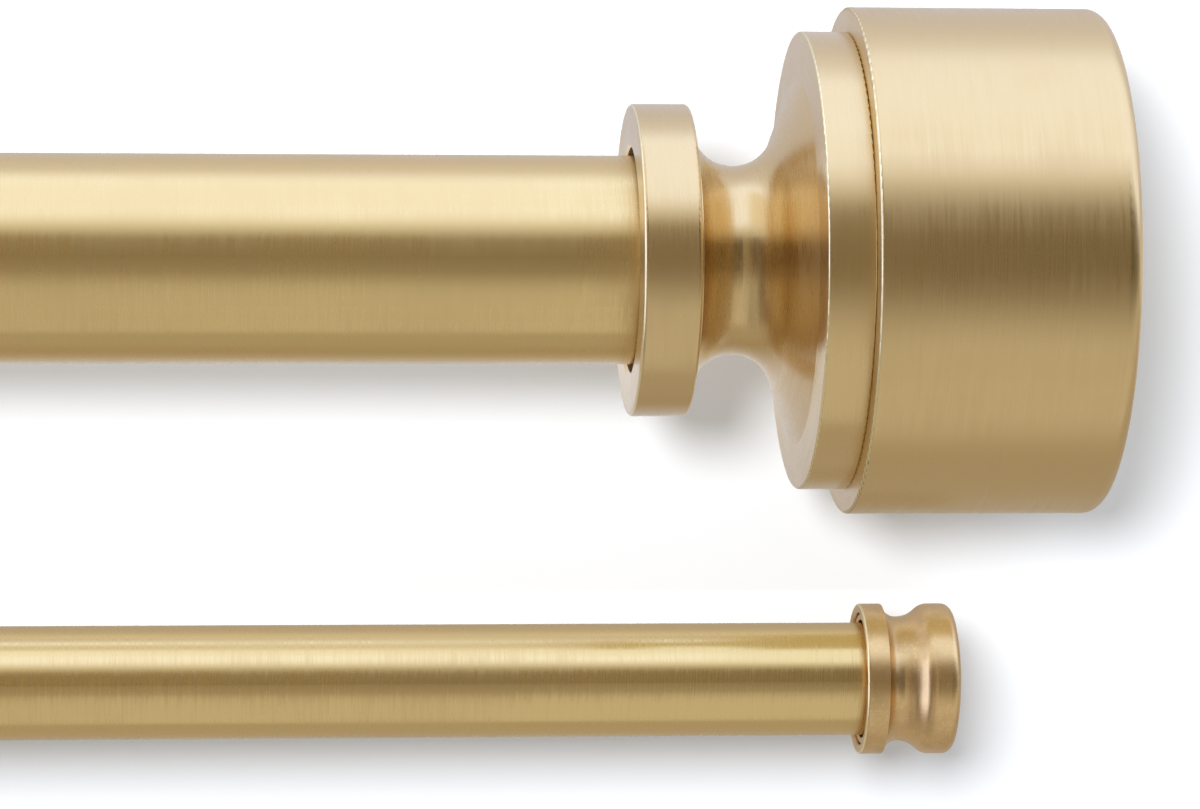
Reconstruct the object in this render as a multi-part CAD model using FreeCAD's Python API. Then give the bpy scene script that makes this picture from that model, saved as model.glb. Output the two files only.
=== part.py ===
# Double curtain pole, lying on a flat surface: a thick front pole with a drum finial at each end, and beside it
# a thin back pole with a small cap at each end. Each pole is telescopic, an inner tube drawn out of an outer one.
# Millimetres. X runs along the poles, +Y points from the back pole to the front pole, and +Z is up.
# The origin lies on the surface, under the middle of the whole set.
import FreeCAD, Part
import math
import os
from collections import namedtuple

from FreeCAD import Vector

# Lay-out of the two poles
AXIS_SPACING = 52.3
MOUTH_STAGGER = 31.25  # the back cap's mouth lies this much further right than the front collar's
TUBE_LENGTH = 660.4  # each of the four tubes
DRAWN_OUT = 127.0  # how far each inner tube stands out of its outer tube

# Clearances, all radial
SLIDE_GAP = 0.25  # inner tube in outer tube
GLIDE_GAP = 0.1  # head of the glide bush in the outer tube
SEAT_FIT = 0.05  # pushed, screwed and registered seats
BOLT_GAP = 0.25  # stud in a plain hole

# Tubes
FRONT_TUBE_OD = 25.4
FRONT_TUBE_WALL = 0.8
FRONT_OUTER_WALL = 0.65
BACK_TUBE_OD = 14.2
BACK_TUBE_WALL = 0.7
BACK_OUTER_WALL = 0.6
TUBE_CHAMFER = 0.15

# Plugs in the tube ends, and glide bushes
PLUG_SLIT = 1.6
PLUG_LEAD = 1.0
FRONT_PLUG_LENGTH = 20.0
FRONT_PLUG_FLANGE = 1.0
BACK_PLUG_LENGTH = 14.0
BACK_PLUG_FLANGE = 0.8
FRONT_BUSH_LENGTH = 18.0
FRONT_BUSH_HEAD = 3.0
FRONT_BUSH_WALL = 2.0
BACK_BUSH_LENGTH = 14.0
BACK_BUSH_HEAD = 2.5
BACK_BUSH_WALL = 1.6
BUSH_LEAD = 0.7

# Collar of the finial
COLLAR_OD = 38.0
COLLAR_WIDTH = 7.0
COLLAR_WEB = 1.5
COLLAR_EDGE = 0.5
FRONT_MOUTH_GAP = 0.15  # collar's bore round the outer tube
MOUTH_CHAMFER = 0.35

# Neck: foot, waist, trumpet and flange
WAIST_OD = 23.0
FOOT_LENGTH = 0.5
FOOT_COVE_RADIUS = 5.3
FOOT_COVE_SWEEP = 75.0
TRUMPET_RADIUS = 5.3
CONE_ANGLE = 20.5  # lean of the flange's conical face from the plane of the flange
RING_ID = 44.8
RING_RISE = 0.25
FLANGE_OD = 55.8
FLANGE_RIM = 5.75
FLANGE_EDGE = 0.25
PILOT_OD = 8.0
PILOT_SHORT = 0.3  # the pilot ends this much before the washer
REGISTER_LENGTH = 2.5

# Drum
DRUM_OD = 61.8
DRUM_LENGTH = 31.1
DRUM_WALL = 4.4
DRUM_END_WALL = 3.0
DRUM_MOUTH_EDGE = 0.35
DRUM_END_EDGE = 1.8
DRUM_INSIDE_RADIUS = 2.5
HUB_OD = 15.0
HUB_LENGTH = 12.0

# Stud, washer and nut of the finial
FRONT_STUD_OD = 6.0
FRONT_STUD_IN_HUB = 9.0
FRONT_STUD_IN_PLUG = 16.0
WASHER_OD = 12.0
WASHER_THICK = 1.2
NUT_ACROSS_FLATS = 10.0
NUT_THICK = 3.2
NUT_ROOM = 0.5
STUD_CHAMFER = 0.5

# Cap of the back pole
CAP_OD = 19.0
CAP_WAIST_OD = 15.7
CAP_NECK_RADIUS = 2.1  # from the mouth bead down to the waist
CAP_COVE_RADIUS = 3.6  # from the waist up to the ogee
CAP_OGEE_RADIUS = 2.1
CAP_MOUTH_BEAD = 2.87
CAP_END_BEAD = 1.7
CAP_END_RADIUS = 1.25
CAP_DOME_ANGLE = 13.5
CAP_RIM_EDGE = 0.4
BACK_MOUTH_GAP = 0.4  # cap's bore round the outer tube
CAP_BORE_DEPTH = 2.6
BACK_STUD_OD = 5.0
BACK_STUD_IN_CAP = 6.0
BACK_STUD_IN_PLUG = 10.0

# Reducing sleeve between the cap and the inner tube
SLEEVE_OUTER_GAP = 0.15
SLEEVE_INNER_GAP = 0.35
SLEEVE_RECESS = 0.4
SLEEVE_EDGE = 0.15

# Derived sizes that more than one piece uses
FRONT_OUTER_OD = FRONT_TUBE_OD + 2 * (SLIDE_GAP + FRONT_OUTER_WALL)
BACK_OUTER_OD = BACK_TUBE_OD + 2 * (SLIDE_GAP + BACK_OUTER_WALL)
COLLAR_BORE_R = FRONT_OUTER_OD / 2 + FRONT_MOUTH_GAP
COLLAR_BORE_DEPTH = COLLAR_WIDTH - COLLAR_WEB
CAP_BORE_R = BACK_OUTER_OD / 2 + BACK_MOUTH_GAP
DRUM_BORE_R = DRUM_OD / 2 - DRUM_WALL
DRAWN_LENGTH = TUBE_LENGTH + DRAWN_OUT

Arc = namedtuple("Arc", "middle end")
Pole = namedtuple("Pole", "x y z")
TubeEnd = namedtuple("TubeEnd", "od wall")


# Turned outlines. A step of an outline is a corner (x, r), a corner with a rounding (x, r, radius), or an Arc.

def at(corner):
    return Vector(corner[0], 0, corner[1])


def swing(centre, radius, angle):
    """The point of a circle at an angle in degrees from +X towards +r."""
    turn = math.radians(angle)
    return (centre[0] + radius * math.cos(turn), centre[1] + radius * math.sin(turn))


def arc_about(centre, radius, from_angle, to_angle):
    middle = swing(centre, radius, (from_angle + to_angle) / 2)
    return Arc(middle, swing(centre, radius, to_angle))


def corner_arc(before, corner, after, radius):
    """Where a rounding leaves the line before a corner, its middle, and where it meets the line after it."""
    to_before = (before - corner).normalize()
    to_after = (after - corner).normalize()
    half = to_before.getAngle(to_after) / 2
    reach = radius / math.tan(half)
    inward = (to_before + to_after).normalize()
    middle = corner + inward * (radius / math.sin(half) - radius)
    return corner + to_before * reach, middle, corner + to_after * reach


def outline_edges(start, steps):
    here = at(start)
    edges = []
    for number, step in enumerate(steps):
        if isinstance(step, Arc):
            edges.append(Part.Arc(here, at(step.middle), at(step.end)).toShape())
            here = at(step.end)
            continue
        corner = at(step)
        if len(step) == 3:
            after = steps[number + 1] if number + 1 < len(steps) else start
            leave, middle, meet = corner_arc(here, corner, at(after), step[2])
            edges.append(Part.LineSegment(here, leave).toShape())
            edges.append(Part.Arc(leave, middle, meet).toShape())
            here = meet
        else:
            edges.append(Part.LineSegment(here, corner).toShape())
            here = corner
    edges.append(Part.LineSegment(here, at(start)).toShape())
    return edges


def turned(start, *steps):
    """A solid turned about X from an outline that closes itself."""
    face = Part.Face(Part.Wire(outline_edges(start, steps)))
    return face.revolve(Vector(0, 0, 0), Vector(1, 0, 0), 360)


# Tubes and what is pushed into them. Each tube runs from x = 0 to its length, and end pieces have x = 0 at the
# tube's end with the tube on the -X side.

def tube(od, wall):
    outer, inner = od / 2, od / 2 - wall
    return turned(
        (0, inner),
        (0, outer - TUBE_CHAMFER),
        (TUBE_CHAMFER, outer),
        (TUBE_LENGTH - TUBE_CHAMFER, outer),
        (TUBE_LENGTH, outer - TUBE_CHAMFER),
        (TUBE_LENGTH, inner),
    )


def glide_bush(inner_tube, outer_bore_r, length, head, wall):
    """Bush on the hidden end of the inner tube, with its head at x < 0 and its barrel in the tube."""
    barrel = inner_tube.od / 2 - inner_tube.wall - SEAT_FIT
    bore = barrel - wall
    return turned(
        (-head, bore),
        (-head, outer_bore_r - GLIDE_GAP - BUSH_LEAD),
        (-head + BUSH_LEAD, outer_bore_r - GLIDE_GAP),
        (0, outer_bore_r - GLIDE_GAP),
        (0, barrel),
        (length - head, barrel),
        (length - head, bore),
    )


def plug(tube_end, length, flange, stud_od, pocket_r, pocket_depth):
    """Plug with a flange on the tube's end, a pocket for what is on the stud, and its barrel slit in four."""
    barrel = tube_end.od / 2 - tube_end.wall - SEAT_FIT
    thread = stud_od / 2 + SEAT_FIT
    body = turned(
        (flange, pocket_r),
        (flange, tube_end.od / 2),
        (0, tube_end.od / 2),
        (0, barrel),
        (-length + PLUG_LEAD, barrel),
        (-length, barrel - PLUG_LEAD),
        (-length, thread),
        (flange - pocket_depth, thread),
        (flange - pocket_depth, pocket_r),
    )
    slit_length = (length + flange - pocket_depth) / 2
    for across in (Vector(0, 1, 0), Vector(0, 0, 1)):
        along = Vector(slit_length, 0, 0)
        width = Vector(0, PLUG_SLIT, PLUG_SLIT)
        size = along + width + across * (2 * barrel - PLUG_SLIT)
        corner = Vector(-length, -size.y / 2, -size.z / 2)
        body = body.cut(Part.makeBox(size.x, size.y, size.z, corner))
    return body


def stud(od, start, end):
    """Threaded rod along X, drawn at its full thread diameter."""
    return turned(
        (start, 0),
        (start, od / 2 - STUD_CHAMFER),
        (start + STUD_CHAMFER, od / 2),
        (end - STUD_CHAMFER, od / 2),
        (end, od / 2 - STUD_CHAMFER),
        (end, 0),
    )


# Finial of the front pole. Its x = 0 is the collar's mouth, and the drum is on the +X side.

def collar():
    outer = COLLAR_OD / 2
    pilot_hole = PILOT_OD / 2 + SEAT_FIT
    return turned(
        (COLLAR_BORE_DEPTH, pilot_hole),
        (COLLAR_BORE_DEPTH, COLLAR_BORE_R),
        (MOUTH_CHAMFER, COLLAR_BORE_R),
        (0, COLLAR_BORE_R + MOUTH_CHAMFER),
        (0, outer, COLLAR_EDGE),
        (COLLAR_WIDTH, outer, COLLAR_EDGE),
        (COLLAR_WIDTH, pilot_hole),
    )


def waist_x():
    """Where the neck is thinnest."""
    sweep = math.radians(FOOT_COVE_SWEEP)
    return COLLAR_WIDTH + FOOT_LENGTH + FOOT_COVE_RADIUS * math.sin(sweep)


def cone_start():
    """Where the trumpet's arc runs into the flange's cone."""
    centre = (waist_x(), WAIST_OD / 2 + TRUMPET_RADIUS)
    return swing(centre, TRUMPET_RADIUS, -CONE_ANGLE)


def ring_x():
    """Where the cone ends at the inside of the flange's ring."""
    x, r = cone_start()
    return x + (RING_ID / 2 - r) * math.tan(math.radians(CONE_ANGLE))


def drum_mouth_x():
    return ring_x() + RING_RISE + FLANGE_RIM


def neck():
    waist_r = WAIST_OD / 2
    foot_r = waist_r + FOOT_COVE_RADIUS * (1 - math.cos(math.radians(FOOT_COVE_SWEEP)))
    foot_centre = (waist_x(), waist_r + FOOT_COVE_RADIUS)
    trumpet_centre = (waist_x(), waist_r + TRUMPET_RADIUS)
    pilot_x = COLLAR_BORE_DEPTH + PILOT_SHORT
    hole = FRONT_STUD_OD / 2 + BOLT_GAP
    register_r = DRUM_BORE_R - SEAT_FIT
    register_x = drum_mouth_x() + REGISTER_LENGTH
    return turned(
        (pilot_x, hole),
        (pilot_x, PILOT_OD / 2),
        (COLLAR_WIDTH, PILOT_OD / 2),
        (COLLAR_WIDTH, foot_r),
        (COLLAR_WIDTH + FOOT_LENGTH, foot_r),
        arc_about(foot_centre, FOOT_COVE_RADIUS, -90 - FOOT_COVE_SWEEP, -90),
        arc_about(trumpet_centre, TRUMPET_RADIUS, -90, -CONE_ANGLE),
        (ring_x(), RING_ID / 2),
        (ring_x() + RING_RISE, FLANGE_OD / 2, FLANGE_EDGE),
        (drum_mouth_x(), FLANGE_OD / 2, FLANGE_EDGE),
        (drum_mouth_x(), register_r),
        (register_x, register_r),
        (register_x, hole),
    )


def drum():
    mouth = drum_mouth_x()
    end = mouth + DRUM_LENGTH
    floor = end - DRUM_END_WALL
    hub_face = floor - HUB_LENGTH
    thread = FRONT_STUD_OD / 2 + SEAT_FIT
    thread_end = hub_face + FRONT_STUD_IN_HUB + STUD_CHAMFER
    return turned(
        (mouth, DRUM_BORE_R),
        (mouth, DRUM_OD / 2, DRUM_MOUTH_EDGE),
        (end, DRUM_OD / 2, DRUM_END_EDGE),
        (end, 0),
        (thread_end, 0),
        (thread_end, thread),
        (hub_face, thread),
        (hub_face, HUB_OD / 2),
        (floor, HUB_OD / 2, DRUM_INSIDE_RADIUS),
        (floor, DRUM_BORE_R, DRUM_INSIDE_RADIUS),
    )


def washer():
    hole = FRONT_STUD_OD / 2 + BOLT_GAP
    face = COLLAR_BORE_DEPTH
    return turned(
        (face - WASHER_THICK, hole),
        (face - WASHER_THICK, WASHER_OD / 2),
        (face, WASHER_OD / 2),
        (face, hole),
    )


def nut():
    face = COLLAR_BORE_DEPTH - WASHER_THICK
    corner_r = NUT_ACROSS_FLATS / 2 / math.cos(math.radians(30))
    corners = [Vector(face, *swing((0, 0), corner_r, 60 * turn)) for turn in range(7)]
    prism = Part.Face(Part.makePolygon(corners)).extrude(Vector(-NUT_THICK, 0, 0))
    thread = Part.makeCylinder(
        FRONT_STUD_OD / 2 + SEAT_FIT, NUT_THICK, Vector(face - NUT_THICK, 0, 0), Vector(1, 0, 0))
    return prism.cut(thread)


def front_stud():
    hub_face = drum_mouth_x() + DRUM_LENGTH - DRUM_END_WALL - HUB_LENGTH
    return stud(FRONT_STUD_OD, COLLAR_BORE_DEPTH - FRONT_STUD_IN_PLUG, hub_face + FRONT_STUD_IN_HUB)


def finial(tube_end):
    """Every piece of one finial on the tube that it closes."""
    pocket_depth = WASHER_THICK + NUT_THICK + NUT_ROOM
    pocket_r = WASHER_OD / 2 + NUT_ROOM
    tube_stop = Vector(COLLAR_BORE_DEPTH - FRONT_PLUG_FLANGE, 0, 0)
    seated_plug = plug(
        tube_end, FRONT_PLUG_LENGTH, FRONT_PLUG_FLANGE, FRONT_STUD_OD, pocket_r, pocket_depth)
    return {
        "collar": collar(),
        "neck": neck(),
        "drum": drum(),
        "stud": front_stud(),
        "washer": washer(),
        "nut": nut(),
        "plug": seated_plug.translated(tube_stop),
    }


# Cap of the back pole. Its x = 0 is the mouth, and the domed end is on the +X side.

def cap():
    outer = CAP_OD / 2
    waist_r = CAP_WAIST_OD / 2
    rise = outer - waist_r
    neck_sweep = math.degrees(math.acos(1 - rise / CAP_NECK_RADIUS))
    ogee_sweep = math.degrees(math.acos(1 - rise / (CAP_COVE_RADIUS + CAP_OGEE_RADIUS)))
    middle_x = CAP_MOUTH_BEAD + CAP_NECK_RADIUS * math.sin(math.radians(neck_sweep))
    neck_centre = (middle_x, waist_r + CAP_NECK_RADIUS)
    cove_centre = (middle_x, waist_r + CAP_COVE_RADIUS)
    ogee_run = (CAP_COVE_RADIUS + CAP_OGEE_RADIUS) * math.sin(math.radians(ogee_sweep))
    ogee_centre = (middle_x + ogee_run, outer - CAP_OGEE_RADIUS)
    bead_end = ogee_centre[0] + CAP_END_BEAD
    end_centre = (bead_end, outer - CAP_END_RADIUS)
    dome_edge = swing(end_centre, CAP_END_RADIUS, CAP_DOME_ANGLE)
    dome_radius = dome_edge[1] / math.sin(math.radians(CAP_DOME_ANGLE))
    dome_centre = (dome_edge[0] - dome_radius * math.cos(math.radians(CAP_DOME_ANGLE)), 0)
    thread = BACK_STUD_OD / 2 + SEAT_FIT
    thread_end = CAP_BORE_DEPTH + BACK_STUD_IN_CAP + STUD_CHAMFER
    return turned(
        (CAP_BORE_DEPTH, CAP_BORE_R),
        (0, CAP_BORE_R, CAP_RIM_EDGE),
        (0, outer, CAP_RIM_EDGE),
        (CAP_MOUTH_BEAD, outer),
        arc_about(neck_centre, CAP_NECK_RADIUS, -90 - neck_sweep, -90),
        arc_about(cove_centre, CAP_COVE_RADIUS, -90, -90 + ogee_sweep),
        arc_about(ogee_centre, CAP_OGEE_RADIUS, 90 + ogee_sweep, 90),
        (bead_end, outer),
        arc_about(end_centre, CAP_END_RADIUS, 90, CAP_DOME_ANGLE),
        arc_about(dome_centre, dome_radius, CAP_DOME_ANGLE, 0),
        (thread_end, 0),
        (thread_end, thread),
        (CAP_BORE_DEPTH, thread),
    )


def end_cap(tube_end):
    """Every piece of one cap on the tube that it closes."""
    tube_stop = Vector(CAP_BORE_DEPTH - BACK_PLUG_FLANGE, 0, 0)
    thread = BACK_STUD_OD / 2 + SEAT_FIT
    seated_plug = plug(
        tube_end, BACK_PLUG_LENGTH, BACK_PLUG_FLANGE, BACK_STUD_OD, thread + STUD_CHAMFER, STUD_CHAMFER)
    return {
        "cap": cap(),
        "stud": stud(BACK_STUD_OD, CAP_BORE_DEPTH - BACK_STUD_IN_PLUG, CAP_BORE_DEPTH + BACK_STUD_IN_CAP),
        "plug": seated_plug.translated(tube_stop),
    }


def reducing_sleeve():
    outer = CAP_BORE_R - SLEEVE_OUTER_GAP
    inner = BACK_TUBE_OD / 2 + SLEEVE_INNER_GAP
    return turned(
        (CAP_BORE_DEPTH, inner),
        (SLEEVE_RECESS, inner, SLEEVE_EDGE),
        (SLEEVE_RECESS, outer, SLEEVE_EDGE),
        (CAP_BORE_DEPTH, outer),
    )


# The two poles. A pole's x is the middle of its drawn-out pair of tubes.

def place_right(pieces, mouth_x, pole):
    return {name: shape.translated(Vector(mouth_x, pole.y, pole.z)) for name, shape in pieces.items()}


def place_left(pieces, mouth_x, pole):
    placed = {}
    for name, shape in pieces.items():
        turned_round = shape.rotated(Vector(0, 0, 0), Vector(0, 0, 1), 180)
        placed[name] = turned_round.translated(Vector(mouth_x, pole.y, pole.z))
    return placed


def tubes_and_bush(pole, inner, outer, bush):
    """The outer tube from the left end, the inner tube to the right end, and the bush on its hidden end."""
    left = pole.x - DRAWN_LENGTH / 2
    hidden_end = left + DRAWN_OUT
    return {
        "outer_tube": tube(outer.od, outer.wall).translated(Vector(left, pole.y, pole.z)),
        "inner_tube": tube(inner.od, inner.wall).translated(Vector(hidden_end, pole.y, pole.z)),
        "glide_bush": bush.translated(Vector(hidden_end, pole.y, pole.z)),
    }


def pole_nodes(name, pole, inner, outer, bush, fitting, seat_depth):
    """Nodes of one pole, with a fitting such as a finial or a cap on both tube ends."""
    nodes = {f"{name}_{piece}": shape for piece, shape in tubes_and_bush(pole, inner, outer, bush).items()}
    mouth = DRAWN_LENGTH / 2 - seat_depth
    for piece, shape in place_left(fitting(outer), pole.x - mouth, pole).items():
        nodes[f"{name}_left_{piece}"] = shape
    for piece, shape in place_right(fitting(inner), pole.x + mouth, pole).items():
        nodes[f"{name}_right_{piece}"] = shape
    return nodes


def build():
    depth = DRUM_OD / 2 + AXIS_SPACING + CAP_OD / 2
    front_seat = COLLAR_BORE_DEPTH - FRONT_PLUG_FLANGE
    back_seat = CAP_BORE_DEPTH - BACK_PLUG_FLANGE
    front = Pole(0, depth / 2 - DRUM_OD / 2, DRUM_OD / 2)
    back = Pole(MOUTH_STAGGER + back_seat - front_seat, CAP_OD / 2 - depth / 2, CAP_OD / 2)
    front_inner = TubeEnd(FRONT_TUBE_OD, FRONT_TUBE_WALL)
    front_outer = TubeEnd(FRONT_OUTER_OD, FRONT_OUTER_WALL)
    back_inner = TubeEnd(BACK_TUBE_OD, BACK_TUBE_WALL)
    back_outer = TubeEnd(BACK_OUTER_OD, BACK_OUTER_WALL)
    front_bush = glide_bush(
        front_inner, FRONT_TUBE_OD / 2 + SLIDE_GAP, FRONT_BUSH_LENGTH, FRONT_BUSH_HEAD, FRONT_BUSH_WALL)
    back_bush = glide_bush(
        back_inner, BACK_TUBE_OD / 2 + SLIDE_GAP, BACK_BUSH_LENGTH, BACK_BUSH_HEAD, BACK_BUSH_WALL)
    nodes = pole_nodes("front", front, front_inner, front_outer, front_bush, finial, front_seat)
    nodes.update(pole_nodes("back", back, back_inner, back_outer, back_bush, end_cap, back_seat))
    cap_mouth = back.x + DRAWN_LENGTH / 2 - back_seat
    nodes["back_right_sleeve"] = reducing_sleeve().translated(Vector(cap_mouth, back.y, back.z))
    return nodes


os.makedirs("parts", exist_ok=True)
for node, shape in build().items():
    shape.exportStep(f"parts/{node}.step")
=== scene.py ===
"""Finishes the double curtain pole and sets the stage that it lies on."""
import math

import bmesh
import bpy
from bpy.props import FloatProperty, FloatVectorProperty, PointerProperty
from mathutils import Matrix, Vector


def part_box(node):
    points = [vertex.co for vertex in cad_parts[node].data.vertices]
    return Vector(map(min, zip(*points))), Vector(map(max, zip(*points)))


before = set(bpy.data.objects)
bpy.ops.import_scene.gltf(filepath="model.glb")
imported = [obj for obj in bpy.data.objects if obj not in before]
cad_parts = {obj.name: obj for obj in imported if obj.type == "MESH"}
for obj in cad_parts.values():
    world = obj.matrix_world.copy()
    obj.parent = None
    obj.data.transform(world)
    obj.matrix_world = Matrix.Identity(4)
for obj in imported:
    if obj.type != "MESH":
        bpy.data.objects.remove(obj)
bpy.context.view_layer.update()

bl_info = {
    "name": "Double Curtain Pole",
    "version": (1, 0, 0),
    "blender": (4, 5, 0),
    "location": "3D View > Sidebar > Pole",
    "description": "Finishes a brushed gold double curtain pole and sets the stage that it lies on",
    "category": "Object",
}

FRONT_TUBES = ("front_outer_tube", "front_inner_tube")
BACK_TUBES = ("back_outer_tube", "back_inner_tube")
COLLARS = ("front_left_collar", "front_right_collar")
NECKS = ("front_left_neck", "front_right_neck")
DRUMS = ("front_left_drum", "front_right_drum")
CAPS = ("back_left_cap", "back_right_cap")
SLEEVES = ("back_right_sleeve",)
FRONT_ZINC = (
    "front_left_stud", "front_right_stud", "front_left_washer", "front_right_washer",
    "front_left_nut", "front_right_nut")
BACK_ZINC = ("back_left_stud", "back_right_stud")
NYLON = (
    "front_glide_bush", "back_glide_bush", "front_left_plug", "front_right_plug",
    "back_left_plug", "back_right_plug")

# Each piece shows in a gloss up to this far off, so in its own pole's gold but not in the other's; further
# off it glows with a painted reflection colour
TUBE_FAR = 0.03  # front tubes and collars
BACK_FAR = 0.018  # back tubes
NECK_FAR = 0.021
DRUM_FAR = 0.016  # drums and caps

# In the back pole's gold these pieces glow with a painted bright light above these heights, and with a dimmer
# painted light below
TUBE_LEVEL = 0.0265
COLLAR_LEVEL = 0.027
NECK_LEVEL = 0.0245
DRUM_LEVEL = 0.023
LIGHT_EDGE = 0.002  # half the height over which the one fades into the other

FLANGE_WIDTH = 0.00575  # of the neck's flange, from the drum's mouth back to its other edge
RIM_HIGHLIGHT_GOLD = (1.0, 0.88, 0.56, 1.0)  # a painted highlight: paler gold on edges where they catch the light
# Widths of the rings of painted rim highlight
RIM_WIDTH = 0.0003
FLANGE_RIM_WIDTH = 0.00025
GOLD_GRAIN_DEPTH = 0.00001
ZINC_GRAIN_DEPTH = 0.000015
NYLON_GRAIN_DEPTH = 0.00002
FLOOR_PAPER = (0.765, 0.79, 0.83, 1.0)
BLACK = (0.0, 0.0, 0.0, 1.0)
WHITE = (1.0, 1.0, 1.0, 1.0)

# The floor across the poles, as Y: each pair is where a painted tone of the floor, as the gold reflects it,
# starts and where it is full
FLOOR_LINE = -0.026  # between the poles, where the front pole's half of the floor meets the back pole's
FLOOR_TO_KEY = (0.035, 0.30)  # from the floor by the front pole out to the key light
STRIP_FROM_BACK = (-0.014, 0.009)  # the painted lit strip between the poles
STRIP_FROM_FRONT = (0.034, 0.02)
FLOOR_BEYOND_BACK = (-0.008, -0.03)

# Each pole's shadow is cast by daylight from this side, and the wider the light the softer the shadow
FRONT_DAYLIGHT = (-0.395, 0.165, 1.2)
BACK_DAYLIGHT = (-0.50, 0.47, 1.1)
FRONT_SPREAD = math.radians(13.7)
BACK_SPREAD = math.radians(37)

# The soft lights, as turns from straight up towards the front pole's side: where each starts and is full
KEY_EDGE_TURNS = (math.radians(20), math.radians(35))
KEY_TURNS = (math.radians(31), math.radians(47))
FILL_TURNS_AT_TUBES = (math.radians(-4), math.radians(-34))
FILL_TURNS_AT_ENDS = (math.radians(-9), math.radians(-46))
SIDE_TURNS = (math.radians(15), math.radians(45))

# The same lights along the poles, as the X of the way that a gloss looks
OVER_ENDS = (0.08, 0.2)
OVER_TUBES = (-0.05, -0.25)
FILL_REACH = (-0.65, -0.35)
FILL_DIP_RIGHT = (-0.06, -0.16)
FILL_DIP_LEFT = (-0.42, -0.3)
LOW_END = (-0.80, -0.90)
END_REACH = (-0.70, -0.86)

OVERHEAD_AT_ENDS = 0.30  # share of the ceiling's light over the right-hand ends
FILL_IN_DIP = 0.4  # share of the fill light in its dip
KEY_OVER_TUBES = 1.3  # over the tubes the key light has its edge's colour, and is this much brighter


# Sizes and colours that a user would change

class PoleFinish(bpy.types.PropertyGroup):
    tube_gold: FloatVectorProperty(
        name="Tube gold", description="Plating of the tubes under their lacquer",
        subtype="COLOR", size=3, min=0, max=1, default=(0.80, 0.60, 0.28))
    finial_gold: FloatVectorProperty(
        name="Finial gold", description="Turned and brushed gold of collars, necks and drums",
        subtype="COLOR", size=3, min=0, max=1, default=(0.755, 0.56, 0.28))
    cap_gold: FloatVectorProperty(
        name="Cap gold", description="Satin gold of the small end caps",
        subtype="COLOR", size=3, min=0, max=1, default=(0.76, 0.53, 0.26))
    zinc: FloatVectorProperty(
        name="Zinc", description="Plating of studs, washers and nuts",
        subtype="COLOR", size=3, min=0, max=1, default=(0.62, 0.64, 0.66))
    nylon: FloatVectorProperty(
        name="Nylon", description="Moulded plugs and glide bushes",
        subtype="COLOR", size=3, min=0, max=1, default=(0.80, 0.80, 0.76))
    tube_line: FloatProperty(
        name="Tube brush line", description="Width of a brush line round the tubes",
        unit="LENGTH", min=1e-5, default=0.00018)
    finial_line: FloatProperty(
        name="Finial brush line", description="Width of a turned line round the finials",
        unit="LENGTH", min=1e-5, default=0.00024)
    grain: FloatProperty(
        name="Cap grain", description="Size of the satin grain on the end caps",
        unit="LENGTH", min=1e-5, default=0.00022)


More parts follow.
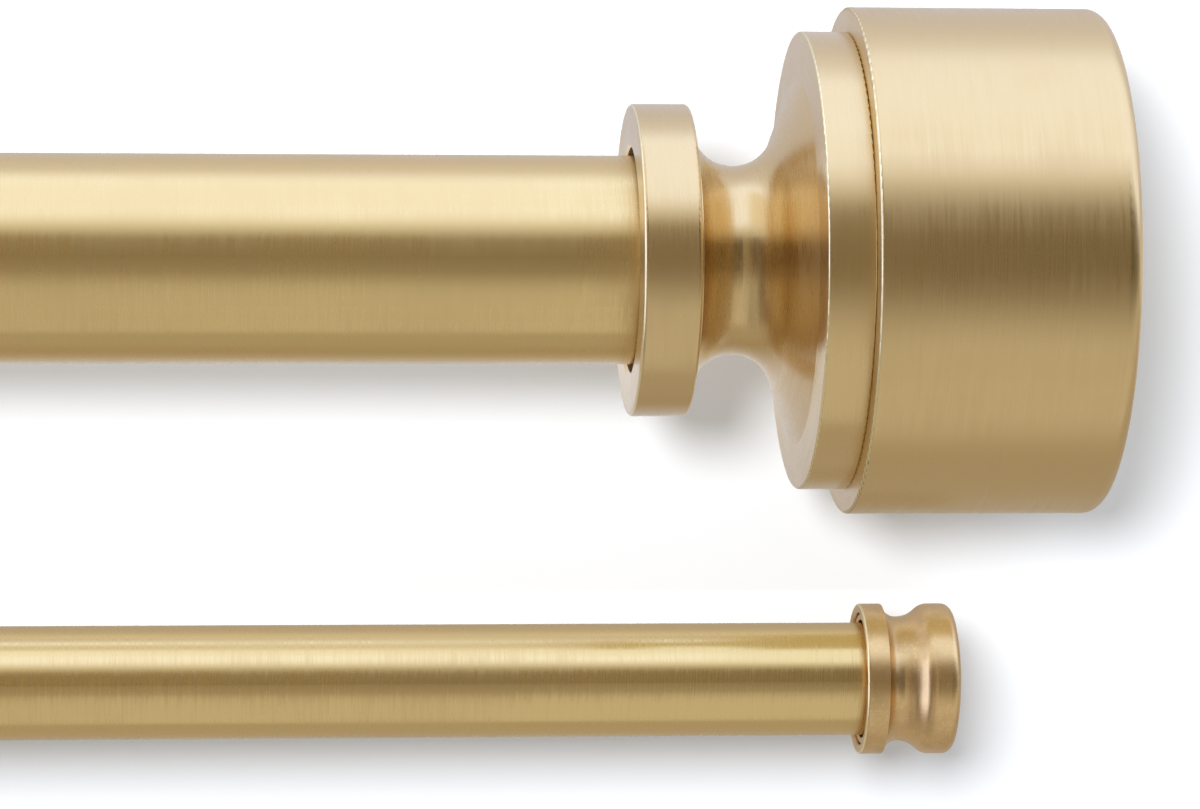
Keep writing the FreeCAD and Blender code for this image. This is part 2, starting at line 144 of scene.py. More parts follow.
class PoleStage(bpy.types.PropertyGroup):
    eye: FloatVectorProperty(
        name="Camera place",
        description="Where the camera looks from, almost straight above the right-hand ends",
        subtype="TRANSLATION", unit="LENGTH", size=3, default=(0.3298, -0.00212, 0.618))
    lean: FloatProperty(
        name="Camera lean", description="How far the camera leans towards the ends of the poles",
        subtype="ANGLE", unit="ROTATION", default=math.radians(5.44))
    lens: FloatProperty(
        name="Lens", description="Focal length on a sensor 36 mm wide",
        subtype="DISTANCE_CAMERA", unit="CAMERA", default=145.46)
    floor_width: FloatProperty(
        name="Floor width", description="Side of the pale floor", unit="LENGTH", default=60.0)
    floor_glow: FloatProperty(
        name="Floor white", description="What the floor adds to its own light where the camera sees it",
        min=0, default=0.14)
    key_light: FloatVectorProperty(
        name="Key light", description="Long soft daylight on the front pole's side",
        subtype="COLOR", size=3, min=0, soft_max=2, default=(1.25, 1.44, 2.00))
    key_edge: FloatVectorProperty(
        name="Key light's edge", description="The daylight where it fades into the ceiling",
        subtype="COLOR", size=3, min=0, soft_max=2, default=(0.80, 0.80, 0.80))
    fill_light: FloatVectorProperty(
        name="Fill light", description="Weaker and warmer soft light on the back pole's side",
        subtype="COLOR", size=3, min=0, soft_max=2, default=(0.68, 0.66, 0.61))
    end_light: FloatVectorProperty(
        name="End light", description="Soft light low down beyond the poles' left ends",
        subtype="COLOR", size=3, min=0, soft_max=2, default=(1.45, 1.60, 2.20))
    overhead: FloatVectorProperty(
        name="Overhead", description="Dim ceiling straight above",
        subtype="COLOR", size=3, min=0, soft_max=2, default=(0.42, 0.355, 0.25))
    overhead_tubes: FloatVectorProperty(
        name="Overhead to the left", description="The ceiling further over the tubes",
        subtype="COLOR", size=3, min=0, soft_max=2, default=(0.18, 0.135, 0.095))
    # Painted reflections of the floor: the colours that the floor glows with in a gloss, darker by the poles
    # as painted shade and lighter in the painted lit strip between them
    floor_by_front: FloatVectorProperty(
        name="Floor by the front pole", description="The floor near the poles as the gold shows it",
        subtype="COLOR", size=3, min=0, soft_max=2, default=(0.64, 0.62, 0.64))
    floor_between: FloatVectorProperty(
        name="Floor between the poles", description="The lit strip between the poles as the gold shows it",
        subtype="COLOR", size=3, min=0, soft_max=2, default=(0.88, 0.87, 0.86))
    floor_by_back: FloatVectorProperty(
        name="Floor by the back pole", description="The floor beyond the back pole as the gold shows it",
        subtype="COLOR", size=3, min=0, soft_max=2, default=(0.50, 0.45, 0.38))
    # Painted reflections: the colours that a piece glows with in the other pole's gold, in place of its own
    # shading
    beyond_front: FloatVectorProperty(
        name="In place of the front tube",
        description="What the back pole's gold shows where the front tube is",
        subtype="COLOR", size=3, min=0, soft_max=2, default=(1.15, 1.26, 1.55))
    under_front: FloatVectorProperty(
        name="In place of the front tube's underside", description="The same, low down",
        subtype="COLOR", size=3, min=0, soft_max=2, default=(0.80, 0.80, 0.80))
    beyond_finial: FloatVectorProperty(
        name="In place of the finial", description="What the back pole's gold shows where the finial is",
        subtype="COLOR", size=3, min=0, soft_max=2, default=(1.10, 1.22, 1.48))
    under_finial: FloatVectorProperty(
        name="In place of the finial's underside", description="The same, low down",
        subtype="COLOR", size=3, min=0, soft_max=2, default=(0.62, 0.55, 0.36))
    beyond_back: FloatVectorProperty(
        name="In place of the back pole",
        description="What the front pole's gold shows where the back pole is",
        subtype="COLOR", size=3, min=0, soft_max=2, default=(0.45, 0.38, 0.27))
    front_wash: FloatProperty(
        name="Front wash",
        description="Strength of the soft daylight that the front pole's shadow comes from",
        min=0, default=2.55)
    back_wash: FloatProperty(
        name="Back wash",
        description="Strength of the broad daylight that the back pole's shadow comes from",
        min=0, default=3.1)


# Building nodes

def add(tree, kind, inputs=None, **settings):
    """A node with its settings, and each named input set to a value or linked to a socket."""
    made = tree.nodes.new(kind)
    for name, value in settings.items():
        setattr(made, name, value)
    for name, value in (inputs or {}).items():
        if isinstance(value, bpy.types.NodeSocket):
            tree.links.new(value, made.inputs[name])
        else:
            made.inputs[name].default_value = value
    return made


def calc(tree, operation, *values):
    """The result of a Math node."""
    return add(tree, "ShaderNodeMath", dict(enumerate(values)), operation=operation).outputs[0]


def vector_calc(tree, operation, output, *values):
    """One output of a Vector Math node."""
    return add(tree, "ShaderNodeVectorMath", dict(enumerate(values)), operation=operation).outputs[output]


def between(tree, value, low, high, to_low=0.0, to_high=1.0, smooth=True):
    """A value taken from one span to another, and held at that span's ends."""
    return add(tree, "ShaderNodeMapRange", {
        "Value": value, "From Min": low, "From Max": high, "To Min": to_low, "To Max": to_high,
    }, interpolation_type="SMOOTHSTEP" if smooth else "LINEAR").outputs["Result"]


def blend_colours(tree, factor, first, second):
    """The first colour where the factor is 0, and the second where it is 1."""
    mix = tree.nodes.new("ShaderNodeMix")
    mix.data_type = "RGBA"
    for socket, value in ((mix.inputs[0], factor), (mix.inputs[6], first), (mix.inputs[7], second)):
        if isinstance(value, bpy.types.NodeSocket):
            tree.links.new(value, socket)
        else:
            socket.default_value = value
    return mix.outputs[2]


def opaque(colour, shade=1.0):
    """A colour with its alpha, and made darker or lighter."""
    return (colour[0] * shade, colour[1] * shade, colour[2] * shade, 1.0)


def new_group(name, inputs, outputs):
    """A shader node group with its named sockets: the tree, its inputs' sockets and its outputs' sockets."""
    tree = bpy.data.node_groups.new(name, "ShaderNodeTree")
    for label, kind, default in inputs:
        socket = tree.interface.new_socket(label, in_out="INPUT", socket_type=kind)
        if default is not None:
            socket.default_value = default
    for label in outputs:
        tree.interface.new_socket(label, in_out="OUTPUT", socket_type="NodeSocketFloat")
    return tree, tree.nodes.new("NodeGroupInput").outputs, tree.nodes.new("NodeGroupOutput").inputs


def use_group(tree, group, inputs):
    """The outputs of a shader node group, placed in a tree."""
    return add(tree, "ShaderNodeGroup", inputs, node_tree=group).outputs


def bump(tree, height, depth):
    """The normal of a relief of a given depth."""
    return add(tree, "ShaderNodeBump", {
        "Height": height, "Strength": 1.0, "Distance": depth}).outputs["Normal"]


# Effects that several materials share

def lines_layer(tree, position, width, turn):
    """Noise drawn out into lines that run round the X axis, on barrels and on end faces alike."""
    parts = add(tree, "ShaderNodeSeparateXYZ", {"Vector": position}).outputs
    flat = add(tree, "ShaderNodeCombineXYZ", {"Y": parts["Y"], "Z": parts["Z"]}).outputs[0]
    radius = vector_calc(tree, "LENGTH", "Value", flat)
    around = vector_calc(tree, "NORMALIZE", "Vector", flat)
    around = add(tree, "ShaderNodeSeparateXYZ", {"Vector": around}).outputs
    side = calc(tree, "MULTIPLY", around["Y"], turn)
    rise = calc(tree, "MULTIPLY", around["Z"], turn)
    layers = []
    for across in (parts["X"], radius):
        step = calc(tree, "DIVIDE", across, width)
        place = add(tree, "ShaderNodeCombineXYZ", {"X": step, "Y": side, "Z": rise}).outputs[0]
        layers.append(add(tree, "ShaderNodeTexNoise", {
            "Vector": place, "Scale": 1.0, "Detail": 2.0, "Roughness": 0.6}).outputs["Fac"])
    return calc(tree, "MULTIPLY", calc(tree, "ADD", *layers), 0.5)


def brushing_group():
    """Brush lines round a pole: fine lines for the relief, and broader streaks for colour and gloss."""
    tree, given, out = new_group(
        "Brushing round the pole",
        [("Position", "NodeSocketVector", None), ("Line Width", "NodeSocketFloat", 0.0002),
         ("Scratch Turn", "NodeSocketFloat", 3.0)],
        ["Lines", "Streaks"])
    fine = lines_layer(tree, given["Position"], given["Line Width"], given["Scratch Turn"])
    broad = calc(tree, "MULTIPLY", given["Line Width"], 3.0)
    streaks = lines_layer(tree, given["Position"], broad, given["Scratch Turn"])
    tree.links.new(between(tree, fine, 0.3, 0.7), out["Lines"])
    tree.links.new(between(tree, streaks, 0.35, 0.65), out["Streaks"])
    return tree


def pits_group():
    """Rare small pits in the metal or its lacquer."""
    tree, given, out = new_group(
        "Pits",
        [("Position", "NodeSocketVector", None), ("Spacing", "NodeSocketFloat", 0.002),
         ("Size", "NodeSocketFloat", 0.035), ("Share", "NodeSocketFloat", 0.2)],
        ["Pits"])
    scale = calc(tree, "DIVIDE", 1.0, given["Spacing"])
    cells = add(tree, "ShaderNodeTexVoronoi", {"Vector": given["Position"], "Scale": scale}).outputs
    pick = add(tree, "ShaderNodeSeparateColor", {"Color": cells["Color"]}).outputs["Red"]
    inside = between(tree, cells["Distance"], given["Size"], 0.0)
    chosen = calc(tree, "LESS_THAN", pick, given["Share"])
    tree.links.new(calc(tree, "MULTIPLY", inside, chosen), out["Pits"])
    return tree


def handling_group():
    """Faint dull patches where the pole has been handled."""
    tree, given, out = new_group(
        "Handling", [("Position", "NodeSocketVector", None), ("Patch Size", "NodeSocketFloat", 0.02)],
        ["Patches"])
    scale = calc(tree, "DIVIDE", 1.0, given["Patch Size"])
    cloud = add(tree, "ShaderNodeTexNoise", {
        "Vector": given["Position"], "Scale": scale, "Detail": 4.0, "Roughness": 0.55}).outputs["Fac"]
    tree.links.new(between(tree, cloud, 0.4, 0.65), out["Patches"])
    return tree


def grain_group():
    """Fine satin grain, and a mask of a few grains for painted glints."""
    tree, given, out = new_group(
        "Satin grain", [("Position", "NodeSocketVector", None), ("Grain", "NodeSocketFloat", 0.0002)],
        ["Relief", "Sparkle"])
    scale = calc(tree, "DIVIDE", 1.0, given["Grain"])
    relief = add(tree, "ShaderNodeTexNoise", {
        "Vector": given["Position"], "Scale": scale, "Detail": 3.0, "Roughness": 0.6}).outputs["Fac"]
    cells = add(tree, "ShaderNodeTexVoronoi", {"Vector": given["Position"], "Scale": scale}).outputs["Color"]
    pick = add(tree, "ShaderNodeSeparateColor", {"Color": cells}).outputs["Green"]
    tree.links.new(relief, out["Relief"])
    tree.links.new(between(tree, pick, 0.75, 1.0), out["Sparkle"])
    return tree


def rim_highlights_group():
    """Rings round the pole where an edge gets a painted highlight, as far out on its left end as on its
    right.
    """
    tree, given, out = new_group(
        "Painted rim highlights",
        [("Position", "NodeSocketVector", None), ("Reach", "NodeSocketFloat", 0.4),
         ("Radius", "NodeSocketFloat", 0.03), ("Width", "NodeSocketFloat", 0.0003)],
        ["Rims"])
    parts = add(tree, "ShaderNodeSeparateXYZ", {"Vector": given["Position"]}).outputs
    sideways = add(tree, "ShaderNodeCombineXYZ", {"Y": parts["Y"], "Z": parts["Z"]}).outputs["Vector"]
    outwards = calc(tree, "SUBTRACT", vector_calc(tree, "LENGTH", "Value", sideways), given["Radius"])
    along = calc(tree, "SUBTRACT", calc(tree, "ABSOLUTE", parts["X"]), given["Reach"])
    offset = add(tree, "ShaderNodeCombineXYZ", {"X": along, "Y": outwards}).outputs["Vector"]
    away = vector_calc(tree, "LENGTH", "Value", offset)
    narrow = calc(tree, "MULTIPLY", given["Width"], 0.7)
    tree.links.new(between(tree, away, given["Width"], narrow), out["Rims"])
    return tree


class Effects:
    """The shared node groups, each built once."""

    def __init__(self):
        self.brushing = self.find("Brushing round the pole", brushing_group)
        self.pits = self.find("Pits", pits_group)
        self.handling = self.find("Handling", handling_group)
        self.grain = self.find("Satin grain", grain_group)
        self.rims = self.find("Painted rim highlights", rim_highlights_group)

    @staticmethod
    def find(name, build):
        """The group of this name, built the first time."""
        return bpy.data.node_groups.get(name) or build()


# Materials

def pole_axis(tube):
    """The middle of a tube's cross-section."""
    low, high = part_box(tube)
    return Vector((0, (low.y + high.y) / 2, (low.z + high.z) / 2))


def inner_rim(piece):
    """Where a right-hand piece starts, as X, and its largest radius."""
    low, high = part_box(piece)
    return low.x, (high.y - low.y) / 2


def new_material(name):
    """An empty material: its tree, its shader and the shader's inputs."""
    material = bpy.data.materials.new(name)
    material.use_nodes = True
    tree = material.node_tree
    tree.nodes.clear()
    shader = tree.nodes.new("ShaderNodeBsdfPrincipled")
    output = tree.nodes.new("ShaderNodeOutputMaterial")
    tree.links.new(shader.outputs["BSDF"], output.inputs["Surface"])
    return material, tree, shader


def centred_position(tree, axis):
    """Object coordinates with the pole's axis as X."""
    coordinates = add(tree, "ShaderNodeTexCoord").outputs["Object"]
    return add(tree, "ShaderNodeMapping", {"Vector": coordinates, "Location": -axis}).outputs["Vector"]


def paint_rim_highlights(tree, effects, position, colour, rims):
    """A colour with painted highlights in rings: each rim has a reach, a radius and a width."""
    for reach, radius, width in rims:
        rim = use_group(tree, effects.rims, {
            "Position": position, "Reach": reach, "Radius": radius, "Width": width})["Rims"]
        colour = blend_colours(tree, rim, colour, RIM_HIGHLIGHT_GOLD)
    return colour


def set_inputs(shader, values):
    """Sets a shader's named inputs to plain values."""
    for name, value in values.items():
        shader.inputs[name].default_value = value


def paint_glow_in_far_gloss(material, beyond, light, under=None, height=0.0):
    """In a gloss further off, the piece glows with a painted reflection: a painted colour for the light past
    it, because each pole was seen by itself.

    Below a height it may glow with another painted light, because a gloss that looks there looks lower down.
    """
    tree = material.node_tree
    path = add(tree, "ShaderNodeLightPath").outputs
    far = calc(tree, "GREATER_THAN", path["Ray Length"], beyond)
    output = tree.nodes["Material Output"]
    mix = add(tree, "ShaderNodeMixShader", {0: calc(tree, "MULTIPLY", path["Is Glossy Ray"], far)})
    shown = opaque(light)
    if under is not None:
        place = add(tree, "ShaderNodeTexCoord").outputs["Object"]
        level = add(tree, "ShaderNodeSeparateXYZ", {"Vector": place}).outputs["Z"]
        risen = between(tree, level, height - LIGHT_EDGE, height + LIGHT_EDGE)
        shown = blend_colours(tree, risen, opaque(under), shown)
    # The painted reflection: an emission of the painted colour
    painted_glow = add(tree, "ShaderNodeEmission", {"Color": shown})
    tree.links.new(output.inputs["Surface"].links[0].from_socket, mix.inputs[1])
    tree.links.new(painted_glow.outputs["Emission"], mix.inputs[2])
    tree.links.new(mix.outputs["Shader"], output.inputs["Surface"])
    return material


def brushed_gold(name, effects, axis, gold, line, turn, depth, gloss, stretch, pit_share, coat=0.4, rims=()):
    """Gold plating brushed round the pole, under a clear lacquer.

    Line is the width of a brush line, turn how often it breaks off round the pole, depth its relief, and
    gloss the least and the most roughness.
    """
    material, tree, shader = new_material(name)
    position = centred_position(tree, axis)
    brushing = use_group(tree, effects.brushing, {
        "Position": position, "Line Width": line, "Scratch Turn": turn})
    pits = use_group(tree, effects.pits, {"Position": position, "Share": pit_share})["Pits"]
    patches = use_group(tree, effects.handling, {"Position": position})["Patches"]
    scratched = calc(tree, "ADD", brushing["Lines"], calc(tree, "MULTIPLY", brushing["Streaks"], 0.5))
    streaked = blend_colours(
        tree, between(tree, scratched, 0.0, 1.5), opaque(gold, 0.98), opaque(gold, 1.015))
    toned = blend_colours(tree, calc(tree, "MULTIPLY", pits, 0.7), streaked, opaque(gold, 0.25))
    # Rims get a painted highlight of paler gold
    tree.links.new(paint_rim_highlights(tree, effects, position, toned, rims), shader.inputs["Base Color"])
    worn = calc(tree, "ADD", scratched, calc(tree, "MULTIPLY", patches, 0.4))
    tree.links.new(between(tree, worn, 0.2, 1.7, *gloss), shader.inputs["Roughness"])
    height = calc(tree, "SUBTRACT", brushing["Lines"], pits)
    tree.links.new(bump(tree, height, depth), shader.inputs["Normal"])
    tangent = add(tree, "ShaderNodeTangent", direction_type="RADIAL", axis="X").outputs["Tangent"]
    tree.links.new(tangent, shader.inputs["Tangent"])
    set_inputs(shader, {
        "Metallic": 1.0, "Anisotropic": stretch, "Anisotropic Rotation": 0.25,
        "Coat Weight": coat, "Coat Roughness": 0.25, "Coat IOR": 1.3,
    })
    return material


def satin_gold(name, effects, axis, gold, line, grain, roughness, rims=()):
    """Satin gold with a fine grain, painted glints and faint turning lines, under a clear lacquer."""
    material, tree, shader = new_material(name)
    position = centred_position(tree, axis)
    brushing = use_group(tree, effects.brushing, {
        "Position": position, "Line Width": line, "Scratch Turn": 2.0})
    satin = use_group(tree, effects.grain, {"Position": position, "Grain": grain})
    patches = use_group(tree, effects.handling, {"Position": position, "Patch Size": 0.004})["Patches"]
    toned = blend_colours(tree, patches, opaque(gold, 1.03), opaque(gold, 0.92))
    # A few grains are painted lighter gold as glints
    patchy_and_glinting = blend_colours(tree, calc(tree, "MULTIPLY", satin["Sparkle"], 0.5), toned, opaque(gold, 1.2))
    # Rims get a painted highlight of paler gold
    tree.links.new(paint_rim_highlights(tree, effects, position, patchy_and_glinting, rims), shader.inputs["Base Color"])
    worn = between(tree, patches, 0.0, 1.0, roughness - 0.03, roughness + 0.05)
    tree.links.new(worn, shader.inputs["Roughness"])
    lined = calc(tree, "MULTIPLY", brushing["Lines"], 0.4)
    height = calc(tree, "ADD", satin["Relief"], lined)
    tree.links.new(bump(tree, height, GOLD_GRAIN_DEPTH), shader.inputs["Normal"])
    set_inputs(shader, {"Metallic": 1.0, "Coat Weight": 0.4, "Coat Roughness": 0.2, "Coat IOR": 1.3})
    return material


def zinc_plate(name, effects, axis, zinc):
    """Bright zinc on threaded and pressed steel."""
    material, tree, shader = new_material(name)
    position = centred_position(tree, axis)
    patches = use_group(tree, effects.handling, {"Position": position, "Patch Size": 0.003})["Patches"]
    satin = use_group(tree, effects.grain, {"Position": position, "Grain": 0.0004})
    spangled = blend_colours(tree, patches, opaque(zinc), opaque(zinc, 0.86))
    tree.links.new(spangled, shader.inputs["Base Color"])
    tree.links.new(between(tree, patches, 0.0, 1.0, 0.28, 0.42), shader.inputs["Roughness"])
    tree.links.new(bump(tree, satin["Relief"], ZINC_GRAIN_DEPTH), shader.inputs["Normal"])
    set_inputs(shader, {"Metallic": 1.0})
    return material


def moulded_nylon(name, effects, nylon):
    """White moulded nylon with a soft sheen from its mould."""
    material, tree, shader = new_material(name)
    position = add(tree, "ShaderNodeTexCoord").outputs["Object"]
    patches = use_group(tree, effects.handling, {"Position": position, "Patch Size": 0.006})["Patches"]
    satin = use_group(tree, effects.grain, {"Position": position, "Grain": 0.0003})
    clouded = blend_colours(tree, patches, opaque(nylon), opaque(nylon, 0.94))
    tree.links.new(clouded, shader.inputs["Base Color"])
    tree.links.new(between(tree, patches, 0.0, 1.0, 0.42, 0.52), shader.inputs["Roughness"])
    tree.links.new(bump(tree, satin["Relief"], NYLON_GRAIN_DEPTH), shader.inputs["Normal"])
    set_inputs(shader, {"Subsurface Weight": 0.1, "Subsurface Scale": 0.001})
    return material


def dress(names, material):
    """Puts a material on every slot of the named pieces."""
    for name in names:
        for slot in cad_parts[name].material_slots:
            slot.material = material


# Operators

class POLE_OT_finish_tubes(bpy.types.Operator):
    """Brush and plate the four telescopic tubes"""
    bl_idname = "pole.finish_tubes"
    bl_label = "Finish Tubes"

    def execute(self, context):
        finish = context.scene.pole_finish
        effects = Effects()
        front = brushed_gold(
            "Front tube gold", effects, pole_axis(FRONT_TUBES[0]), finish.tube_gold, finish.tube_line,
            turn=2.5, depth=0.000003, gloss=(0.24, 0.39), stretch=0.7, pit_share=0.004)
        back = brushed_gold(
            "Back tube gold", effects, pole_axis(BACK_TUBES[0]), finish.tube_gold, finish.tube_line,
            turn=1.5, depth=0.000005, gloss=(0.18, 0.42), stretch=0.6, pit_share=0.004)
        stage = context.scene.pole_stage
        dress(FRONT_TUBES, paint_glow_in_far_gloss(
            front, TUBE_FAR, stage.beyond_front, stage.under_front, TUBE_LEVEL))
        dress(BACK_TUBES, paint_glow_in_far_gloss(back, BACK_FAR, stage.beyond_back))
        return {"FINISHED"}


class POLE_OT_finish_finials(bpy.types.Operator):
    """Brush and lacquer the collars, necks and drums"""
    bl_idname = "pole.finish_finials"
    bl_label = "Finish Finials"

    def execute(self, context):
        finish = context.scene.pole_finish
        effects = Effects()
        axis = pole_axis(FRONT_TUBES[0])
        mouth, drum_radius = inner_rim("front_right_drum")
        start, collar_radius = inner_rim("front_right_collar")
        flange_radius = inner_rim("front_right_neck")[1]
        # Each rim below is a ring of painted highlight: the drum's mouth, the collar's start and both edges
        # of the neck's flange
        drum = brushed_gold(
            "Drum gold", effects, axis, finish.finial_gold, finish.finial_line,
            turn=3.0, depth=0.000005, gloss=(0.26, 0.43), stretch=0.65, pit_share=0.004,
            rims=[(mouth, drum_radius, RIM_WIDTH)])
        collar = brushed_gold(
            "Collar gold", effects, axis, finish.finial_gold, finish.finial_line,
            turn=3.0, depth=0.000005, gloss=(0.26, 0.43), stretch=0.65, pit_share=0.004, coat=1.0,
            rims=[(start, collar_radius, RIM_WIDTH)])
        neck = brushed_gold(
            "Neck gold", effects, axis, finish.finial_gold, finish.finial_line,
            turn=3.0, depth=0.000004, gloss=(0.23, 0.35), stretch=0.5, pit_share=0.06, coat=0.6,
            rims=[(edge, flange_radius, FLANGE_RIM_WIDTH) for edge in (mouth - FLANGE_WIDTH, mouth)])
        stage = context.scene.pole_stage
        lights = (stage.beyond_finial, stage.under_finial)
        dress(DRUMS, paint_glow_in_far_gloss(drum, DRUM_FAR, *lights, DRUM_LEVEL))
        dress(COLLARS, paint_glow_in_far_gloss(collar, TUBE_FAR, *lights, COLLAR_LEVEL))
        dress(NECKS, paint_glow_in_far_gloss(neck, NECK_FAR, *lights, NECK_LEVEL))
        return {"FINISHED"}


class POLE_OT_finish_caps(bpy.types.Operator):
    """Give the end caps and the reducing sleeve their satin gold"""
    bl_idname = "pole.finish_caps"
    bl_label = "Finish Caps"

    def execute(self, context):
        finish = context.scene.pole_finish
        effects = Effects()
        axis = pole_axis(BACK_TUBES[0])
        mouth, radius = inner_rim("back_right_cap")
        middle = (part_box("back_left_cap")[0].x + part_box("back_right_cap")[1].x) / 2
        centre = axis + Vector((middle, 0, 0))
        # The rim at the cap's mouth gets a painted highlight
        cap = satin_gold(
            "Cap gold", effects, centre, finish.cap_gold, finish.finial_line, finish.grain,
            roughness=0.32, rims=[(mouth - middle, radius, RIM_WIDTH)])
        dress(CAPS, paint_glow_in_far_gloss(cap, DRUM_FAR, context.scene.pole_stage.beyond_back))
        dress(SLEEVES, satin_gold(
            "Sleeve gold", effects, axis, finish.cap_gold, finish.tube_line, finish.grain, roughness=0.3))
        return {"FINISHED"}


class POLE_OT_finish_fittings(bpy.types.Operator):
    """Finish the studs, washers, nuts, plugs and glide bushes"""
    bl_idname = "pole.finish_fittings"
    bl_label = "Finish Fittings"

    def execute(self, context):
        finish = context.scene.pole_finish
        effects = Effects()
        dress(FRONT_ZINC, zinc_plate("Front zinc", effects, pole_axis(FRONT_TUBES[0]), finish.zinc))
        dress(BACK_ZINC, zinc_plate("Back zinc", effects, pole_axis(BACK_TUBES[0]), finish.zinc))
        dress(NYLON, moulded_nylon("White nylon", effects, finish.nylon))
        return {"FINISHED"}


def make_camera(stage):
    """The camera, almost straight above the right-hand ends."""
    camera = bpy.data.cameras.new("Camera")
    camera.sensor_fit = "HORIZONTAL"
    camera.sensor_width = 36.0
    camera.lens = stage.lens
    camera.clip_start = 0.01
    camera.clip_end = 100.0
    holder = bpy.data.objects.new("Camera", camera)
    holder.location = stage.eye
    holder.rotation_euler = (0, -stage.lean, 0)
    bpy.context.collection.objects.link(holder)
    bpy.context.scene.camera = holder


def seen(tree):
    """1 where the camera, a gloss or a glass looks, and 0 where only soft light gathers."""
    path = add(tree, "ShaderNodeLightPath").outputs
    either = calc(tree, "MAXIMUM", path["Is Camera Ray"], path["Is Glossy Ray"])
    return calc(tree, "MAXIMUM", either, path["Is Transmission Ray"])


def floor_paper(stage):
    """White paper, which in a gloss glows with painted colours instead of its own shading: painted shade by
    the poles, lighter between them.
    """
    material, tree, shader = new_material("Pale floor")
    path = add(tree, "ShaderNodeLightPath").outputs
    paper = blend_colours(tree, path["Is Glossy Ray"], FLOOR_PAPER, BLACK)
    tree.links.new(paper, shader.inputs["Base Color"])
    set_inputs(shader, {"Roughness": 0.9, "Specular IOR Level": 0.0})
    across = add(tree, "ShaderNodeSeparateXYZ", {
        "Vector": add(tree, "ShaderNodeTexCoord").outputs["Object"]}).outputs["Y"]
    # Painted reflection of the floor: darker by the poles as painted shade, and the lit strip between them as
    # painted light
    outwards = between(tree, across, *FLOOR_TO_KEY, smooth=False)
    gloss = blend_colours(tree, outwards, opaque(stage.floor_by_front), opaque(stage.key_light))
    strip = calc(
        tree, "MULTIPLY", between(tree, across, *STRIP_FROM_BACK), between(tree, across, *STRIP_FROM_FRONT))
    gloss = blend_colours(tree, strip, gloss, opaque(stage.floor_between))
    beyond_back = between(tree, across, *FLOOR_BEYOND_BACK)
    gloss = blend_colours(tree, beyond_back, gloss, opaque(stage.floor_by_back))
    level = calc(tree, "MULTIPLY", seen(tree), stage.floor_glow)
    white = add(tree, "ShaderNodeCombineColor", {"Red": level, "Green": level, "Blue": level}).outputs[0]
    shown = blend_colours(tree, path["Is Glossy Ray"], white, gloss)
    glow = add(tree, "ShaderNodeEmission", {"Color": shown})
    both = tree.nodes.new("ShaderNodeAddShader")
    tree.links.new(shader.outputs["BSDF"], both.inputs[0])
    tree.links.new(glow.outputs["Emission"], both.inputs[1])
    tree.links.new(both.outputs["Shader"], tree.nodes["Material Output"].inputs["Surface"])
    return material


def make_floor(name, material, half, side):
    """Half of the pale floor, on one side of the line between the poles."""
    mesh = bpy.data.meshes.new(name)
    shape = bmesh.new()
    middle = Matrix.Translation((0, FLOOR_LINE + side * half, 0))
    bmesh.ops.create_grid(shape, x_segments=1, y_segments=1, size=half, matrix=middle)
    shape.to_mesh(mesh)
    shape.free()
    mesh.materials.append(material)
    floor = bpy.data.objects.new(name, mesh)
    bpy.context.collection.objects.link(floor)
    return floor


def gathered(name, objects):
    """A collection of objects, for a lamp to light or to be shaded by."""
    collection = bpy.data.collections.new(name)
    for member in objects:
        collection.objects.link(member)
    return collection


def make_wash(name, floor, pole, away, spread, strength):
    """Soft daylight from the upper left, which lights one half of the floor and is shaded by its pole."""
    lamp = bpy.data.lights.new(name, "SUN")
    lamp.angle = spread
    lamp.energy = strength
    holder = bpy.data.objects.new(name, lamp)
    holder.location = away
    holder.rotation_euler = Vector(away).to_track_quat("Z", "Y").to_euler()
    holder.visible_camera = False
    holder.visible_glossy = False
    bpy.context.collection.objects.link(holder)
    holder.light_linking.receiver_collection = gathered(name + " lights", [floor])
    holder.light_linking.blocker_collection = gathered(name + " is shaded by", pole)


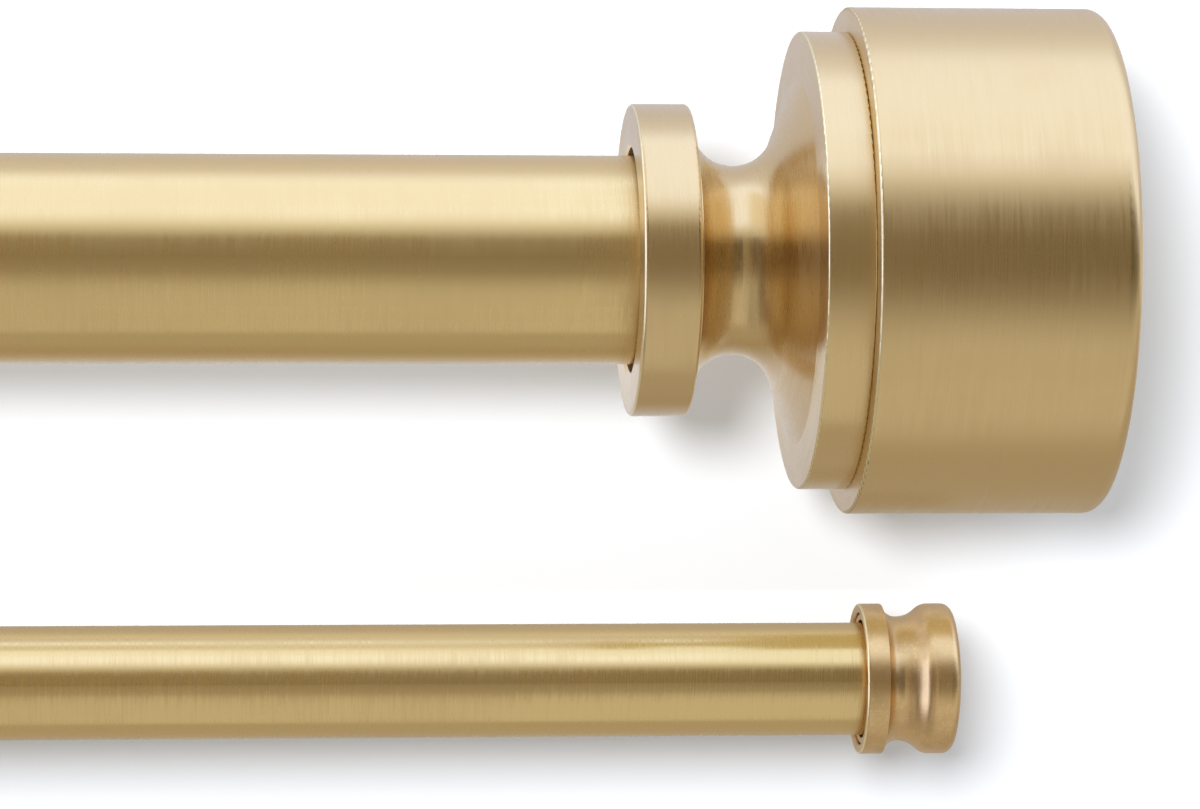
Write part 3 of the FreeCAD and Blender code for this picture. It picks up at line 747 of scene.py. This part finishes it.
def make_surroundings(stage):
    """Soft lights beside the poles and past their left ends, under a dim ceiling, and white to the camera."""
    world = bpy.data.worlds.new("Surroundings")
    world.use_nodes = True
    tree = world.node_tree
    tree.nodes.clear()
    direction = add(tree, "ShaderNodeTexCoord").outputs["Generated"]
    parts = add(tree, "ShaderNodeSeparateXYZ", {"Vector": direction}).outputs
    turn = calc(tree, "ARCTAN2", parts["Y"], parts["Z"])
    over_ends = between(tree, parts["X"], *OVER_ENDS)
    over_tubes = between(tree, parts["X"], *OVER_TUBES)
    key_fade = between(tree, turn, *KEY_EDGE_TURNS)
    key_rise = between(tree, turn, *KEY_TURNS)
    fill_start = between(tree, over_ends, 0.0, 1.0, FILL_TURNS_AT_TUBES[0], FILL_TURNS_AT_ENDS[0])
    fill_full = between(tree, over_ends, 0.0, 1.0, FILL_TURNS_AT_TUBES[1], FILL_TURNS_AT_ENDS[1])
    fill_rise = between(tree, turn, fill_start, fill_full)
    fill_rise = calc(tree, "MULTIPLY", fill_rise, between(tree, parts["X"], *FILL_REACH))
    dip_right = between(tree, parts["X"], *FILL_DIP_RIGHT)
    dip = calc(tree, "MULTIPLY", dip_right, between(tree, parts["X"], *FILL_DIP_LEFT))
    fill_rise = calc(tree, "MULTIPLY", fill_rise, between(tree, dip, 0.0, 1.0, 1.0, FILL_IN_DIP))
    over_middle = opaque(stage.overhead)
    ceiling = blend_colours(tree, over_ends, over_middle, opaque(stage.overhead, OVERHEAD_AT_ENDS))
    ceiling = blend_colours(tree, over_tubes, ceiling, opaque(stage.overhead_tubes))
    key = blend_colours(tree, over_tubes, opaque(stage.key_light), opaque(stage.key_edge, KEY_OVER_TUBES))
    light = blend_colours(tree, key_fade, ceiling, opaque(stage.key_edge))
    light = blend_colours(tree, key_rise, light, key)
    light = blend_colours(tree, fill_rise, light, opaque(stage.fill_light))
    beside = between(tree, calc(tree, "ABSOLUTE", turn), *SIDE_TURNS)
    low_down = calc(tree, "MAXIMUM", beside, between(tree, parts["X"], *LOW_END))
    end = calc(tree, "MULTIPLY", low_down, between(tree, parts["X"], *END_REACH))
    light = blend_colours(tree, end, light, opaque(stage.end_light))
    path = add(tree, "ShaderNodeLightPath").outputs
    plain = add(tree, "ShaderNodeRGBToBW", {"Color": light}).outputs[0]
    light = blend_colours(tree, path["Is Glossy Ray"], plain, light)
    light = blend_colours(tree, path["Is Camera Ray"], light, WHITE)
    background = add(tree, "ShaderNodeBackground", {"Color": light, "Strength": 1.0})
    output = tree.nodes.new("ShaderNodeOutputWorld")
    tree.links.new(background.outputs["Background"], output.inputs["Surface"])
    bpy.context.scene.world = world


class POLE_OT_set_stage(bpy.types.Operator):
    """Set up the camera, the pale floor and the soft light"""
    bl_idname = "pole.set_stage"
    bl_label = "Set Stage"

    def execute(self, context):
        stage = context.scene.pole_stage
        context.scene.view_settings.view_transform = "Standard"
        make_camera(stage)
        paper = floor_paper(stage)
        front_floor = make_floor("Front floor", paper, stage.floor_width / 2, 1)
        back_floor = make_floor("Back floor", paper, stage.floor_width / 2, -1)
        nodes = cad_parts
        front_pole = [nodes[name] for name in FRONT_TUBES + COLLARS + NECKS + DRUMS]
        back_pole = [nodes[name] for name in BACK_TUBES + CAPS + SLEEVES]
        make_wash(
            "Front wash", front_floor, front_pole, away=FRONT_DAYLIGHT, spread=FRONT_SPREAD,
            strength=stage.front_wash)
        make_wash(
            "Back wash", back_floor, back_pole, away=BACK_DAYLIGHT, spread=BACK_SPREAD,
            strength=stage.back_wash)
        make_surroundings(stage)
        return {"FINISHED"}


class POLE_PT_sidebar(bpy.types.Panel):
    bl_idname = "POLE_PT_sidebar"
    bl_label = "Double Curtain Pole"
    bl_space_type = "VIEW_3D"
    bl_region_type = "UI"
    bl_category = "Pole"

    def draw(self, context):
        layout = self.layout
        finish = context.scene.pole_finish
        stage = context.scene.pole_stage
        for name in ("tube_gold", "tube_line"):
            layout.prop(finish, name)
        layout.operator(POLE_OT_finish_tubes.bl_idname)
        for name in ("finial_gold", "finial_line"):
            layout.prop(finish, name)
        layout.operator(POLE_OT_finish_finials.bl_idname)
        for name in ("cap_gold", "grain"):
            layout.prop(finish, name)
        layout.operator(POLE_OT_finish_caps.bl_idname)
        for name in ("zinc", "nylon"):
            layout.prop(finish, name)
        layout.operator(POLE_OT_finish_fittings.bl_idname)
        for name in PoleStage.__annotations__:
            layout.prop(stage, name)
        layout.operator(POLE_OT_set_stage.bl_idname)


CLASSES = (
    PoleFinish, PoleStage, POLE_OT_finish_tubes, POLE_OT_finish_finials, POLE_OT_finish_caps,
    POLE_OT_finish_fittings, POLE_OT_set_stage, POLE_PT_sidebar)


def register():
    for made in CLASSES:
        bpy.utils.register_class(made)
    bpy.types.Scene.pole_finish = PointerProperty(type=PoleFinish)
    bpy.types.Scene.pole_stage = PointerProperty(type=PoleStage)


def unregister():
    del bpy.types.Scene.pole_stage
    del bpy.types.Scene.pole_finish
    for made in reversed(CLASSES):
        bpy.utils.unregister_class(made)


def main():
    register()
    bpy.ops.pole.finish_tubes()
    bpy.ops.pole.finish_finials()
    bpy.ops.pole.finish_caps()
    bpy.ops.pole.finish_fittings()
    bpy.ops.pole.set_stage()


if __name__ == "__main__":
    main()
